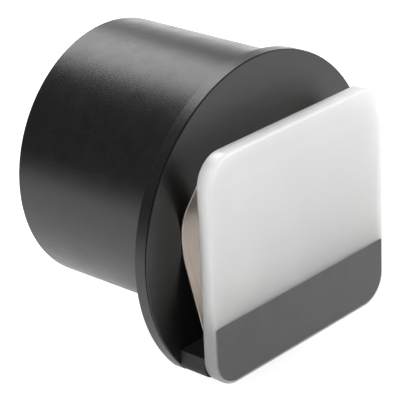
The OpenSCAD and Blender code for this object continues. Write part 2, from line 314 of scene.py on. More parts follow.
def stoved_enamel():
    """Satin black stoving enamel, sprayed on aluminium: a fine grain that glitters where light falls
    off, and a slight drift in gloss. The real grain is finer; this is as coarse as it needs to show."""
    material, tree, shader, place = surface("stoved_enamel", "#0f0f0f", 0.33, IOR=1.6)
    fine = grain(tree, place, 0.23, detail=1.0)
    two_tone(tree, shader, fine, "#050505", "#1c1c1c")
    tree.links.new(spread(tree, grain(tree, place, 4.0), 0.3, 0.36), shader.inputs["Roughness"])
    emboss(tree, shader, fine, 0.034)
    return material


def turned_anodising(name, axis, base="#1b1b1d"):
    """Black anodised aluminium, turned: dyed, slightly metallic, with fine tool rings across an axis."""
    material, tree, shader, place = surface(name, base, 0.36, Metallic=0.6)
    stretch = [60, 60, 60]
    stretch["XYZ".index(axis)] = 1
    rings = grain(tree, place, 0.14, stretch=stretch)
    tree.links.new(spread(tree, rings, 0.31, 0.43), shader.inputs["Roughness"])
    emboss(tree, shader, rings, 0.006)
    return material


def flat_lacquer():
    """Dull black lacquer against reflections: rough and powdery."""
    material, tree, shader, place = surface("flat_lacquer", "#0d0d0d", 0.9)
    speckle = grain(tree, place, 0.18)
    two_tone(tree, shader, speckle, "#0a0a0a", "#121212")
    emboss(tree, shader, speckle, 0.02)
    return material


def moulded_abs():
    """Black ABS from a spark-eroded mould: an even fine pebble, matt."""
    material, tree, shader, place = surface("moulded_abs", "#0e0e0e", 0.6, IOR=1.5)
    pebble = grain(tree, place, 0.3)
    tree.links.new(spread(tree, pebble, 0.55, 0.68), shader.inputs["Roughness"])
    emboss(tree, shader, pebble, 0.02)
    return material


def opal_acrylic():
    """Cast opal acrylic: light wanders some millimetres inside it, so its edges glow, and its skin is
    satin. Part of the light goes through it and is lost where the black ledge stands behind its foot;
    that loss is painted into the base colour as shade, greyer from the top down towards the foot."""
    material, tree, shader, place = surface(
        "opal_acrylic", "#f6f6f5", 0.2, IOR=1.49, Subsurface_Weight=1.0,
        Subsurface_Radius=(1.0, 1.0, 0.96), Subsurface_Scale=18 * MM)
    # Painted shade: by height, the base colour runs from pale at the top to grey at the foot.
    height = add(tree, "ShaderNodeSeparateXYZ", {"Vector": place}).outputs["Z"]
    painted_shade_rise = add(tree, "ShaderNodeMapRange", {
        "Value": height, "From Min": OPAL_PAINTED_SHADE_LOW * MM, "From Max": OPAL_PAINTED_SHADE_TOP * MM})
    cloud = spread(tree, grain(tree, place, 9.0, detail=1.0), -0.02, 0.02)
    level = add(tree, "ShaderNodeMath", {0: painted_shade_rise.outputs["Result"], 1: cloud}, operation="ADD")
    ramp = add(tree, "ShaderNodeValToRGB", {"Fac": level.outputs[0]})
    stops = ramp.color_ramp.elements
    stops[0].color = colour("#a9a9a8")
    stops[1].color = colour("#eeeeed")
    stops.new(0.3).color = colour("#cacac9")
    stops.new(0.6).color = colour("#dadad9")
    tree.links.new(ramp.outputs["Color"], shader.inputs["Base Color"])
    return material


def screen_print():
    """Dark grey screen print on a thin plate: even, satin, with the faint tooth of the mesh."""
    material, tree, shader, place = surface("screen_print", "#3f3f3f", 0.48)
    tooth = grain(tree, place, 0.2)
    two_tone(tree, shader, grain(tree, place, 5.0), "#3d3d3d", "#424242")
    emboss(tree, shader, tooth, 0.004)
    return material


def rolled_nickel_silver():
    """Nickel silver strip: warm pale metal with rolling lines along its length, drawn wider than the
    real ones so that they show."""
    material, tree, shader, place = surface("rolled_nickel_silver", "#eedfd6", 0.3, Metallic=1.0)
    lines = grain(tree, place, 0.25, stretch=(1, 60, 60))
    two_tone(tree, shader, lines, "#e9d8ce", "#f3e6de")
    tree.links.new(spread(tree, lines, 0.29, 0.35), shader.inputs["Roughness"])
    emboss(tree, shader, lines, 0.002)
    return material


def turned_brass():
    """Turned brass, a little dulled: fine rings across the lock screw's axis."""
    material, tree, shader, place = surface("turned_brass", "#b8965a", 0.3, Metallic=1.0)
    rings = grain(tree, place, 0.1, stretch=(1, 40, 40))
    two_tone(tree, shader, grain(tree, place, 1.5), "#ad8a4e", "#c09f62")
    tree.links.new(spread(tree, rings, 0.26, 0.38), shader.inputs["Roughness"])
    emboss(tree, shader, rings, 0.004)
    return material


def rolled_steel():
    """Bright steel with a rolled thread: smooth and hard, with faint stains of oil."""
    material, tree, shader, place = surface("rolled_steel", "#b9bbc0", 0.26, Metallic=1.0)
    stain = grain(tree, place, 1.2)
    tree.links.new(spread(tree, stain, 0.22, 0.34), shader.inputs["Roughness"])
    two_tone(tree, shader, stain, "#acaeb4", "#c3c5c9")
    return material


def blackened_steel():
    """Chemically blackened steel: a thin dark oxide, half glossy, a little uneven."""
    material, tree, shader, place = surface("blackened_steel", "#2a2a2d", 0.38, Metallic=0.9)
    cloud = grain(tree, place, 0.5)
    two_tone(tree, shader, cloud, "#232326", "#333337")
    tree.links.new(spread(tree, cloud, 0.32, 0.46), shader.inputs["Roughness"])
    return material


def natural_nylon():
    """Natural nylon, turned: waxy cream, slightly see-through at its edges."""
    material, tree, shader, place = surface(
        "natural_nylon", "#ddd8c8", 0.45, IOR=1.53, Subsurface_Weight=0.35,
        Subsurface_Radius=(1.0, 0.9, 0.7), Subsurface_Scale=0.8 * MM)
    emboss(tree, shader, grain(tree, place, 0.15, stretch=(30, 1, 30)), 0.006)
    return material


FINISH = {
    "satin_black_paint": stoved_enamel(),
    "black_anodised": turned_anodising("turned_anodising", "Y"),
    "baffle_black": flat_lacquer(),
    "black_plastic": moulded_abs(),
    "opal_acrylic": opal_acrylic(),
    "label_grey": screen_print(),
    "nickel_silver": rolled_nickel_silver(),
    "brass": turned_brass(),
    "bright_steel": rolled_steel(),
    "black_steel": blackened_steel(),
    "nylon": natural_nylon(),
}
KNOB_ANODISING = turned_anodising("knob_anodising", "X", "#1d1d1f")

# ---- mesh tools, in millimetres


def rounded(corners, radius, steps=4):
    """The closed outline with each corner made an arc. radius is one number, or one for each corner."""
    points = [Vector(c) for c in corners]
    radii = radius if isinstance(radius, (list, tuple)) else [radius] * len(points)
    out = []
    for i, (point, r) in enumerate(zip(points, radii)):
        before = points[i - 1] - point
        after = points[(i + 1) % len(points)] - point
        half = before.angle(after) / 2
        if r <= 0 or abs(half - math.pi / 2) < 0.01:
            out.append(point)
            continue
        length = min(r / math.tan(half), before.length * 0.48, after.length * 0.48)
        first = point + before.normalized() * length
        last = point + after.normalized() * length
        centre = point + (before.normalized() + after.normalized()).normalized() * (length / math.cos(half))
        arc_r = (first - centre).length
        out += [centre + (first - centre).lerp(last - centre, s / steps).normalized() * arc_r
                for s in range(steps + 1)]
    return out


def new_object(name, mesh):
    obj = bpy.data.objects.new(name, mesh)
    scene.collection.objects.link(obj)
    return obj


def settle(obj):
    """Turn the object's modifiers, or its curve, into a plain mesh."""
    bpy.context.view_layer.update()
    mesh = bpy.data.meshes.new_from_object(obj.evaluated_get(bpy.context.evaluated_depsgraph_get()))
    name = obj.name
    if obj.type == "CURVE":
        bpy.data.objects.remove(obj, do_unlink=True)
        return new_object(name, mesh)
    obj.modifiers.clear()
    obj.data = mesh
    return obj


def from_bmesh(name, bm):
    """A clean object from a bmesh: doubles merged, faces outwards."""
    bmesh.ops.remove_doubles(bm, verts=bm.verts, dist=MERGE)
    bmesh.ops.recalc_face_normals(bm, faces=bm.faces)
    mesh = bpy.data.meshes.new(name)
    bm.to_mesh(mesh)
    bm.free()
    return new_object(name, mesh)


def turned(name, profile, facets=FACETS, shape=None):
    """Turn a closed profile of (radius, y) about the Y axis. shape(radius, angle) may change a radius."""
    bm = bmesh.new()
    rings = []
    for k in range(facets):
        angle = 2 * math.pi * k / facets
        ring = []
        for r, y in profile:
            r = shape(r, angle) if shape else r
            ring.append(bm.verts.new((r * math.cos(angle), y, r * math.sin(angle))))
        rings.append(ring)
    for ring, after in zip(rings, rings[1:] + rings[:1]):
        for i, vert in enumerate(ring):
            j = (i + 1) % len(ring)
            if profile[i][0] > 1e-6 or profile[j][0] > 1e-6:
                bm.faces.new((vert, ring[j], after[j], after[i]))
    return from_bmesh(name, bm)


def section(inner, outer, y0, y1):
    """Profile of a plain ring, or of a disc if its inner radius is 0."""
    return [(inner, y0), (outer, y0), (outer, y1), (inner, y1)]


def circle(radius, x=0.0, z=0.0, points=FACETS):
    angles = [2 * math.pi * k / points for k in range(points)]
    return [(x + radius * math.cos(a), z + radius * math.sin(a)) for a in angles]


def flat_footed(radius, z, foot):
    """A circle about (0, z), cut off level at its foot."""
    end = math.asin((foot - z) / radius)
    sweep = math.pi - 2 * end
    steps = round(FACETS * sweep / (2 * math.pi))
    angles = [end + sweep * i / steps for i in range(steps + 1)]
    return [(radius * math.cos(a), z + radius * math.sin(a)) for a in angles]


def box_outline(width, height, corner_r):
    w, h = width / 2, height / 2
    return rounded([(-w, -h), (w, -h), (w, h), (-w, h)], corner_r, 12)


def plate(name, outlines, y0, y1, edge, edge_steps=2):
    """Plate between two stations, from a flat outline of (x, z) with holes, its edges rounded."""
    data = bpy.data.curves.new(name, "CURVE")
    data.dimensions = "2D"
    data.fill_mode = "BOTH"
    data.extrude = (y1 - y0) / 2 - edge
    data.bevel_depth = edge
    data.bevel_resolution = edge_steps
    data.offset = -edge
    for outline in outlines:
        spline = data.splines.new("POLY")
        spline.points.add(len(outline) - 1)
        for point, (x, z) in zip(spline.points, outline):
            point.co = (x, z, 0, 1)
        spline.use_cyclic_u = True
    obj = settle(new_object(name, data))
    obj.data.transform(Matrix.Translation((0, (y0 + y1) / 2, 0)) @ Matrix.Rotation(math.pi / 2, 4, "X"))
    bm = bmesh.new()
    bm.from_mesh(obj.data)
    bpy.data.objects.remove(obj, do_unlink=True)
    return from_bmesh(name, bm)


def cut(obj, *cutters):
    """Take the cutters' shapes out of the piece, and clear the slivers that this leaves."""
    for cutter in cutters:
        modifier = obj.modifiers.new("cut", "BOOLEAN")
        modifier.operation = "DIFFERENCE"
        modifier.solver = "EXACT"
        modifier.object = cutter
    settle(obj)
    for cutter in cutters:
        bpy.data.objects.remove(cutter, do_unlink=True)
    bm = bmesh.new()
    bm.from_mesh(obj.data)
    bmesh.ops.dissolve_degenerate(bm, dist=MERGE, edges=bm.edges)
    bm.to_mesh(obj.data)
    bm.free()
    return obj


def drill(profile, places, facing=0.0):
    """One cutter: a turned profile of (radius, depth) copied to places (x, y, z), turned about Z."""
    bm = bmesh.new()
    tool = turned("drill", profile, HOLE_FACETS)
    for place in places:
        bm.from_mesh(tool.data)
        fresh = bm.verts[-len(tool.data.vertices):]
        bmesh.ops.transform(bm, verts=fresh,
                            matrix=Matrix.Translation(place) @ Matrix.Rotation(facing, 4, "Z"))
    bpy.data.objects.remove(tool, do_unlink=True)
    return from_bmesh("drill", bm)


def block(lo, hi):
    bm = bmesh.new()
    bmesh.ops.create_cube(bm, size=1.0)
    lo, hi = Vector(lo), Vector(hi)
    bmesh.ops.scale(bm, verts=bm.verts, vec=hi - lo)
    bmesh.ops.translate(bm, verts=bm.verts, vec=(lo + hi) / 2)
    return from_bmesh("block", bm)


def smooth(obj):
    """Smooth shading that stays flat on flat faces and breaks at sharp edges."""
    obj.data.shade_smooth()
    obj.data.set_sharp_from_angle(angle=SHARP)
    weighted = obj.modifiers.new("weighted", "WEIGHTED_NORMAL")
    weighted.keep_sharp = True
    return settle(obj)


# The lock screw's axis runs along +X, so its pieces are turned about Y and then laid over.
TO_LOCK_AXIS = Matrix.Translation((0, KNOB_Y, 0)) @ Matrix.Rotation(-math.pi / 2, 4, "Z")


def lock_turned(name, profile, facets=96, shape=None):
    """Turn a profile of (radius, x) about the lock screw's axis."""
    obj = turned(name, profile, facets, shape)
    obj.data.transform(TO_LOCK_AXIS)
    return obj


# ---- geometry nodes

def new_tree(name, *inputs):
    """An empty geometry tree with named inputs, each (name, kind, value)."""
    tree = bpy.data.node_groups.new(name, "GeometryNodeTree")
    tree.interface.new_socket("Geometry", in_out="INPUT", socket_type="NodeSocketGeometry")
    for label, kind, value in inputs:
        socket = tree.interface.new_socket(label, in_out="INPUT", socket_type=f"NodeSocket{kind}")
        if value is not None:
            socket.default_value = value
    tree.interface.new_socket("Material", in_out="INPUT", socket_type="NodeSocketMaterial")
    tree.interface.new_socket("Geometry", in_out="OUTPUT", socket_type="NodeSocketGeometry")
    return tree, tree.nodes.new("NodeGroupInput").outputs


def close_tree(tree, geometry, material):
    """End a tree: instances made real, and the material set."""
    real = add(tree, "GeometryNodeRealizeInstances", {"Geometry": geometry})
    dressed = add(tree, "GeometryNodeSetMaterial",
                  {"Geometry": real.outputs["Geometry"], "Material": material})
    add(tree, "NodeGroupOutput", {"Geometry": dressed.outputs["Geometry"]})


def thread_tree():
    """Joins a screw thread to its core: a diamond swept along a helix about the Y axis."""
    tree, given = new_tree("thread_on_a_core", ("Radius", "Float", 1.0), ("Tooth", "Float", 0.2),
                           ("Pitch", "Float", 0.4), ("Turns", "Float", 4.0), ("Start", "Float", 0.0),
                           ("Facets", "Int", 96))
    height = add(tree, "ShaderNodeMath", {0: given["Pitch"], 1: given["Turns"]}, operation="MULTIPLY")
    helix = add(tree, "GeometryNodeCurveSpiral", {
        "Resolution": given["Facets"], "Rotations": given["Turns"], "Start Radius": given["Radius"],
        "End Radius": given["Radius"], "Height": height.outputs[0]})
    upright = add(tree, "GeometryNodeSetCurveNormal", {"Curve": helix.outputs["Curve"]}, mode="Z_UP")
    tooth = add(tree, "GeometryNodeCurvePrimitiveCircle", {"Resolution": 4, "Radius": given["Tooth"]},
                mode="RADIUS")
    swept = add(tree, "GeometryNodeCurveToMesh", {
        "Curve": upright.outputs["Curve"], "Profile Curve": tooth.outputs["Curve"], "Fill Caps": True})
    start = add(tree, "ShaderNodeCombineXYZ", {"Y": given["Start"]})
    laid = add(tree, "GeometryNodeTransform", {
        "Geometry": swept.outputs["Mesh"], "Translation": start.outputs["Vector"],
        "Rotation": (-math.pi / 2, 0, 0)})
    joined = add(tree, "GeometryNodeJoinGeometry")
    tree.links.new(laid.outputs["Geometry"], joined.inputs["Geometry"])
    tree.links.new(given["Geometry"], joined.inputs["Geometry"])
    close_tree(tree, joined.outputs["Geometry"], given["Material"])
    return tree


def round_axis_tree():
    """Copies a piece round the barrel's axis."""
    tree, given = new_tree("copies_round_the_axis", ("Count", "Int", 3), ("Step", "Float", 1.0))
    points = add(tree, "GeometryNodeMeshLine", {"Count": given["Count"], "Offset": (0, 0, 0)})
    index = add(tree, "GeometryNodeInputIndex")
    angle = add(tree, "ShaderNodeMath", {0: index.outputs["Index"], 1: given["Step"]}, operation="MULTIPLY")
    turn = add(tree, "ShaderNodeCombineXYZ", {"Y": angle.outputs[0]})
    copies = add(tree, "GeometryNodeInstanceOnPoints", {
        "Points": points.outputs["Mesh"], "Instance": given["Geometry"],
        "Rotation": turn.outputs["Vector"]})
    close_tree(tree, copies.outputs["Instances"], given["Material"])
    return tree


def screws_tree():
    """Puts a screw on each seat, a vertex each, with its driver slot left at a chance angle."""
    tree, given = new_tree("screws_on_their_seats", ("Screw", "Object", None), ("Facing", "Float", 0.0),
                           ("Seed", "Int", 1))
    screw = add(tree, "GeometryNodeObjectInfo", {"Object": given["Screw"]})
    slot_angle = add(tree, "FunctionNodeRandomValue", {"Min": 0.0, "Max": math.pi, "Seed": given["Seed"]},
                     data_type="FLOAT")
    angle = next(out for out in slot_angle.outputs if out.enabled)
    turn = add(tree, "ShaderNodeCombineXYZ", {"Y": angle, "Z": given["Facing"]})
    copies = add(tree, "GeometryNodeInstanceOnPoints", {
        "Points": given["Geometry"], "Instance": screw.outputs["Geometry"],
        "Rotation": turn.outputs["Vector"]})
    close_tree(tree, copies.outputs["Instances"], given["Material"])
    return tree


def strip_tree():
    """Sweeps a flat strip with rounded edges along a path of vertices."""
    tree, given = new_tree("strip_along_a_path", ("Width", "Float", 5.0), ("Thickness", "Float", 0.3),
                           ("Edge", "Float", 0.1))
    path = add(tree, "GeometryNodeMeshToCurve", {"Mesh": given["Geometry"]})
    oblong = add(tree, "GeometryNodeCurvePrimitiveQuadrilateral",
                 {"Width": given["Width"], "Height": given["Thickness"]}, mode="RECTANGLE")
    eased = add(tree, "GeometryNodeFilletCurve",
                {"Curve": oblong.outputs["Curve"], "Radius": given["Edge"], "Count": 3}, mode="POLY")
    swept = add(tree, "GeometryNodeCurveToMesh", {
        "Curve": path.outputs["Curve"], "Profile Curve": eased.outputs["Curve"], "Fill Caps": True})
    close_tree(tree, swept.outputs["Mesh"], given["Material"])
    return tree


def grow(obj, tree, material, **inputs):
    """Run a tree on the piece's own mesh and keep the result as its plain mesh."""
    modifier = obj.modifiers.new(tree.name, "NODES")
    modifier.node_group = tree
    ids = {item.name: item.identifier for item in tree.interface.items_tree if item.in_out == "INPUT"}
    for name, value in {**inputs, "Material": material}.items():
        modifier[ids[name]] = value
    return settle(obj)


THREAD = thread_tree()
ROUND_AXIS = round_axis_tree()
SCREWS = screws_tree()
STRIP = strip_tree()

# ---- putting pieces in the frame


def fit(obj, body, slot, node, material=None):
    """Shade a piece, make it metres, give it its finish, hang it on the body it rides on, and hide the CAD
    node it stands in for.
    """
    smooth(obj)
    obj.data.transform(Matrix.Scale(MM, 4))
    obj.data.materials.clear()
    obj.data.materials.append(material or FINISH[slot])
    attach(obj, body)
    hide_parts(node)
    return obj


# ---- the tube that screws into the lens

def around(radius, angles, y):
    return [(radius * math.cos(math.radians(a)), y, radius * math.sin(math.radians(a))) for a in angles]


def grub_hole_cutter():
    """Three radial holes for the grub screws."""
    bm = bmesh.new()
    hole_r = GRUB_R + SEAT
    for angle in GRUB_ANGLES:
        turn = Matrix.Rotation(math.radians(-angle), 4, "Y") @ Matrix.Rotation(math.pi / 2, 4, "Y")
        place = Matrix.Translation((0, GRUB_Y, 0)) @ turn @ Matrix.Translation((0, 0, TUBE_BORE_R))
        bmesh.ops.create_cone(bm, cap_ends=True, segments=HOLE_FACETS, radius1=hole_r, radius2=hole_r,
                              depth=4 * PAST, matrix=place)
    return from_bmesh("drill", bm)


def ribbed_tube():
    """The telescoping tube: turned outside, fine ribs in its bore against stray light."""
    wall = TUBE_BORE_R + RIB_DEPTH
    front, rear = CLIP_HI.y + PLAIN_BORE[0], THREAD_LO.y - PLAIN_BORE[1]
    profile = rounded([
        (TUBE_FRONT_BORE_R, TUBE_LO.y), (GROOVE_R, TUBE_LO.y), (GROOVE_R, GROOVE_Y), (TUBE_R, GROOVE_Y),
        (TUBE_R, TUBE_HI.y), (TUBE_BORE_R, TUBE_HI.y), (TUBE_BORE_R, rear), (wall, rear - RIB_SLOPE),
        (wall, front + RIB_SLOPE), (TUBE_BORE_R, front), (TUBE_BORE_R, STEP_Y),
        (TUBE_FRONT_BORE_R, STEP_Y)],
        [0.1, 0.1, 0.05, 0.2, 0.15, 0.1, 0, 0, 0, 0, 0.05, 0.1])
    tube = cut(turned("ribbed_tube", profile), grub_hole_cutter())
    first = front + RIB_SLOPE + RIB_FREE
    turns = math.floor((rear - RIB_FREE - first) / RIB_PITCH)
    tooth = RIB_PITCH / 2
    grow(tube, THREAD, FINISH["black_anodised"], Radius=TUBE_BORE_R + tooth, Tooth=tooth,
         Pitch=RIB_PITCH, Turns=float(turns), Start=first, Facets=96)
    return fit(tube, "lens_tube", "black_anodised", "inner_tube")


def threaded_ring():
    """The ring with the filter thread, fixed in the tube's rear end."""
    tooth = THREAD_PITCH / 2
    major = THREAD_HI.z
    core = major - tooth
    inner = TUBE_BORE_R - SEAT
    profile = rounded([
        (THREAD_BORE_R, THREAD_LO.y), (inner, THREAD_LO.y), (inner, 0), (core, 0),
        (core, THREAD_HI.y - THREAD_CHAMFER), (core - THREAD_CHAMFER, THREAD_HI.y),
        (THREAD_BORE_R, THREAD_HI.y)],
        [0.15, 0.1, 0, 0, 0.1, 0.1, 0.2])
    ring = cut(turned("threaded_ring", profile), grub_hole_cutter())
    grow(ring, THREAD, FINISH["black_anodised"], Radius=core, Tooth=tooth, Pitch=THREAD_PITCH,
         Turns=THREAD_TURNS, Start=tooth, Facets=192)
    return fit(ring, "lens_tube", "black_anodised", "lens_thread_ring")


def grub_screws():
    """Three slotted grub screws, standing radially in the tube's wall."""
    tip_r, slot_r = THREAD_BORE_R + GRUB_ENDS[0], TUBE_R - GRUB_ENDS[1]
    length = slot_r - tip_r
    screw = turned("grub_screws", rounded(section(0, GRUB_R, 0, length), [0, 0.12, 0.2, 0], 2), 32)
    width, depth = GRUB_SLOT
    cut(screw, block((-width / 2, -0.1, -2 * PAST), (width / 2, depth, 2 * PAST)))
    # The slotted end looks outwards; the first screw stands at the top.
    screw.data.transform(Matrix.Translation((0, GRUB_Y, slot_r)) @ Matrix.Rotation(-math.pi / 2, 4, "X"))
    grow(screw, ROUND_AXIS, FINISH["black_steel"], Count=3, Step=2 * math.pi / 3)
    return fit(screw, "lens_tube", "black_steel", "thread_ring_screws")


def slotted_nut():
    """The ring that keeps the guide ring on, with two slots for a pin spanner."""
    width, depth = PIN_SLOT
    nut = turned("slotted_nut", rounded(section(GROOVE_R + SEAT, NUT_HI.z, NUT_LO.y, NUT_HI.y), 0.12))
    for x in (-TUBE_R, TUBE_R):
        cut(nut, block((x - 2 * PAST, NUT_LO.y - depth, -width / 2),
                       (x + 2 * PAST, NUT_LO.y + depth, width / 2)))
    return fit(nut, "lens_tube", "black_anodised", "retaining_ring")


def knife_baffle():
    """The light stop, its inner edge thinned to a knife so that it throws no light back."""
    outer = -BAFFLE_LO.x
    profile = rounded([
        (outer, BAFFLE_LO.y), (outer, BAFFLE_HI.y), (BAFFLE_BORE_R + KNIFE[0], BAFFLE_HI.y),
        (BAFFLE_BORE_R, BAFFLE_LO.y + KNIFE[1]), (BAFFLE_BORE_R, BAFFLE_LO.y)], [0.08, 0.08, 0.1, 0, 0])
    return fit(turned("knife_baffle", profile), "lens_tube", "baffle_black", "light_baffle")


def wire_clip():
    """The open wire ring that holds the baffle, of round wire with rounded ends."""
    wire_r = (CLIP_HI.y - CLIP_LO.y) / 2
    ring_r = TUBE_BORE_R - SEAT - wire_r
    points = 180
    data = bpy.data.curves.new("wire_clip", "CURVE")
    data.dimensions = "3D"
    data.bevel_depth = wire_r
    data.bevel_resolution = 3
    data.use_fill_caps = True
    spline = data.splines.new("POLY")
    spline.points.add(points)
    for i, point in enumerate(spline.points):
        angle = math.radians(CLIP_FROM - CLIP_SWEEP * i / points)
        point.co = (ring_r * math.cos(angle), (CLIP_LO.y + CLIP_HI.y) / 2, ring_r * math.sin(angle), 1)
    return fit(settle(new_object("wire_clip", data)), "lens_tube", "black_steel", "baffle_clip")


def nylon_ring():
    """The slip ring that the barrel turns and slides on."""
    profile = rounded(section(GROOVE_R + RUN, GUIDE_HI.z, GUIDE_LO.y, GUIDE_HI.y), 0.25)
    return fit(turned("nylon_ring", profile), "slip_ring", "nylon", "guide_ring")


# ---- barrel, flange and gate

def countersink(length):
    """Profile of the hole that an M2 countersunk screw fills, open past its head."""
    head_r, hole_r, end = SCREW_HEAD_R + SEAT, SCREW_R + SEAT, length + SCREW_PLAY
    return [(0, -PAST), (head_r, -PAST), (head_r, SCREW_RIM), (hole_r, SCREW_NECK), (hole_r, end), (0, end)]


FLANGE_SEATS = around(FLANGE_SCREW_R, (45, 135, 225, 315), LIP_Y)
LEDGE_SEATS = [(side * LEDGE_SCREW_AT[0], FLANGE_HI.y, LEDGE_SCREW_AT[1]) for side in (-1, 1)]
PLATE_SEATS = [(side * LEAF_X, PLATE_LO.y + LABEL_BED, PLATE_SCREW_Z) for side in (-1, 1)]
REARWARDS = math.pi             # facing of a screw whose head looks towards the lens


def painted_barrel():
    """The telescoping outer tube."""
    profile = rounded([
        (LIP_R, BARREL_LO.y), (BARREL_R, BARREL_LO.y), (BARREL_R, BARREL_HI.y), (LAND_R, BARREL_HI.y),
        (LAND_R, LAND_Y), (BARREL_BORE_R, LAND_Y), (BARREL_BORE_R, LIP_Y), (LIP_R, LIP_Y)],
        [0.15, 0.12, 0.3, 0.25, 0.2, 0.1, 0.3, 0.2], 5)
    neck_r, head_r = BUSH_NECK_R + SEAT, BUSH_HI.z + SEAT
    inside, outside = TUBE_R - 2 * PAST, BARREL_R + 2 * PAST
    lock_hole = lock_turned("drill", [(0, inside), (neck_r, inside), (neck_r, BUSH_SEAT_X),
                                      (head_r, BUSH_SEAT_X), (head_r, outside), (0, outside)])
    barrel = cut(turned("painted_barrel", profile),
                 drill(countersink(FLANGE_SCREW_LEN), FLANGE_SEATS, REARWARDS), lock_hole)
    return fit(barrel, "holder", "satin_black_paint", "barrel")


def painted_flange():
    """The round plate, lower than the barrel, with the film window and the mask's recess."""
    window = box_outline(GATE_W + 2 * WINDOW_STEP, GATE_H + 2 * WINDOW_STEP, WINDOW_CORNER_R)
    flange = plate("painted_flange", [flat_footed(FLANGE_R, FLANGE_Z, FLANGE_LO.z), window],
                   FLANGE_LO.y, FLANGE_HI.y, 0.12, 0)
    outside = flat_footed(FLANGE_R + PAST, FLANGE_Z, FLANGE_LO.z - PAST)
    floor = flat_footed(FLANGE_R - RIM_GROOVE_DEPTH, FLANGE_Z, FLANGE_LO.z + RIM_GROOVE_DEPTH)
    cut(flange, plate("groove", [outside, floor],
                      FLANGE_LO.y + RIM_GROOVE[0], FLANGE_LO.y + RIM_GROOVE[1], 0.0))
    recess = drill(section(0, -MASK_LO.x + SEAT, 0, 3 * PAST), [(0, MASK_LO.y, 0)])
    cut(flange, recess, drill(countersink(FLANGE_SCREW_LEN), FLANGE_SEATS, REARWARDS),
        drill(countersink(LEDGE_SCREW_LEN), LEDGE_SEATS, REARWARDS))
    return fit(flange, "holder", "satin_black_paint", "flange")


def gate_plate():
    """The thin mask with the film opening."""
    holes = [circle(SCREW_R + SEAT, x, z, 32) for x, _, z in FLANGE_SEATS]
    mask = plate("gate_plate", [circle(-MASK_LO.x), box_outline(GATE_W, GATE_H, GATE_CORNER_R), *holes],
                 MASK_LO.y, MASK_HI.y, 0.06)
    return fit(mask, "holder", "baffle_black", "gate_mask")


def thin_tooth(pitch):
    """Half a thread's height, a little short, so that its turns don't touch."""
    return pitch / 2 * 0.98


def screw_mould(length):
    """One M2 slotted countersunk screw: head's face at the origin, shank along +Y, with its thread."""
    core, shank_end = SCREW_R - SCREW_PITCH / 2, SCREW_NECK + 0.2
    profile = rounded([
        (0, 0), (SCREW_HEAD_R, 0), (SCREW_HEAD_R, SCREW_RIM), (SCREW_R, SCREW_NECK), (SCREW_R, shank_end),
        (core, shank_end + 0.15), (core, length - 0.2), (core - 0.25, length), (0, length)],
        [0, 0.06, 0.06, 0.1, 0, 0, 0, 0, 0], 2)
    screw = turned("screw_mould", profile, HOLE_FACETS)
    reach, (width, depth) = SCREW_HEAD_R + PAST, SCREW_SLOT
    cut(screw, block((-reach, -0.1, -width / 2), (reach, depth, width / 2)))
    first, last = shank_end + 0.2, length - 0.5
    return grow(screw, THREAD, FINISH["black_steel"], Radius=core, Tooth=thin_tooth(SCREW_PITCH),
                Pitch=SCREW_PITCH, Turns=(last - first) / SCREW_PITCH, Start=first, Facets=24)


def screw_set(name, node, length, seats, facing, seed):
    """Screws of one length on their seats."""
    mould = screw_mould(length)
    points = bpy.data.meshes.new(name)
    points.from_pydata(seats, [], [])
    screws = grow(new_object(name, points), SCREWS, FINISH["black_steel"],
                  Screw=mould, Facing=facing, Seed=seed)
    bpy.data.objects.remove(mould, do_unlink=True)
    return fit(screws, "holder", "black_steel", node)


# ---- ledge, diffuser and label

def card(inset=0.0, top=None):
    """The diffuser's outline made smaller all round, and cut off level at a height if one is given."""
    half, low = PLATE_HI.x - inset, PLATE_LO.z + inset
    foot_r, top_r = FOOT_CORNER_R - inset, TOP_CORNER_R - inset
    steps = 16
    if top is None:
        high = PLATE_HI.z - inset
        return rounded([(-half, low), (half, low), (half, high), (-half, high)],
                       [foot_r, foot_r, top_r, top_r], steps)
    arc = [-math.pi / 2 + math.pi / 2 * i / steps for i in range(steps + 1)]
    right = [(half - foot_r + foot_r * math.cos(a), low + foot_r + foot_r * math.sin(a)) for a in arc]
    right.append((half, top))
    return right + [(-x, z) for x, z in reversed(right)]


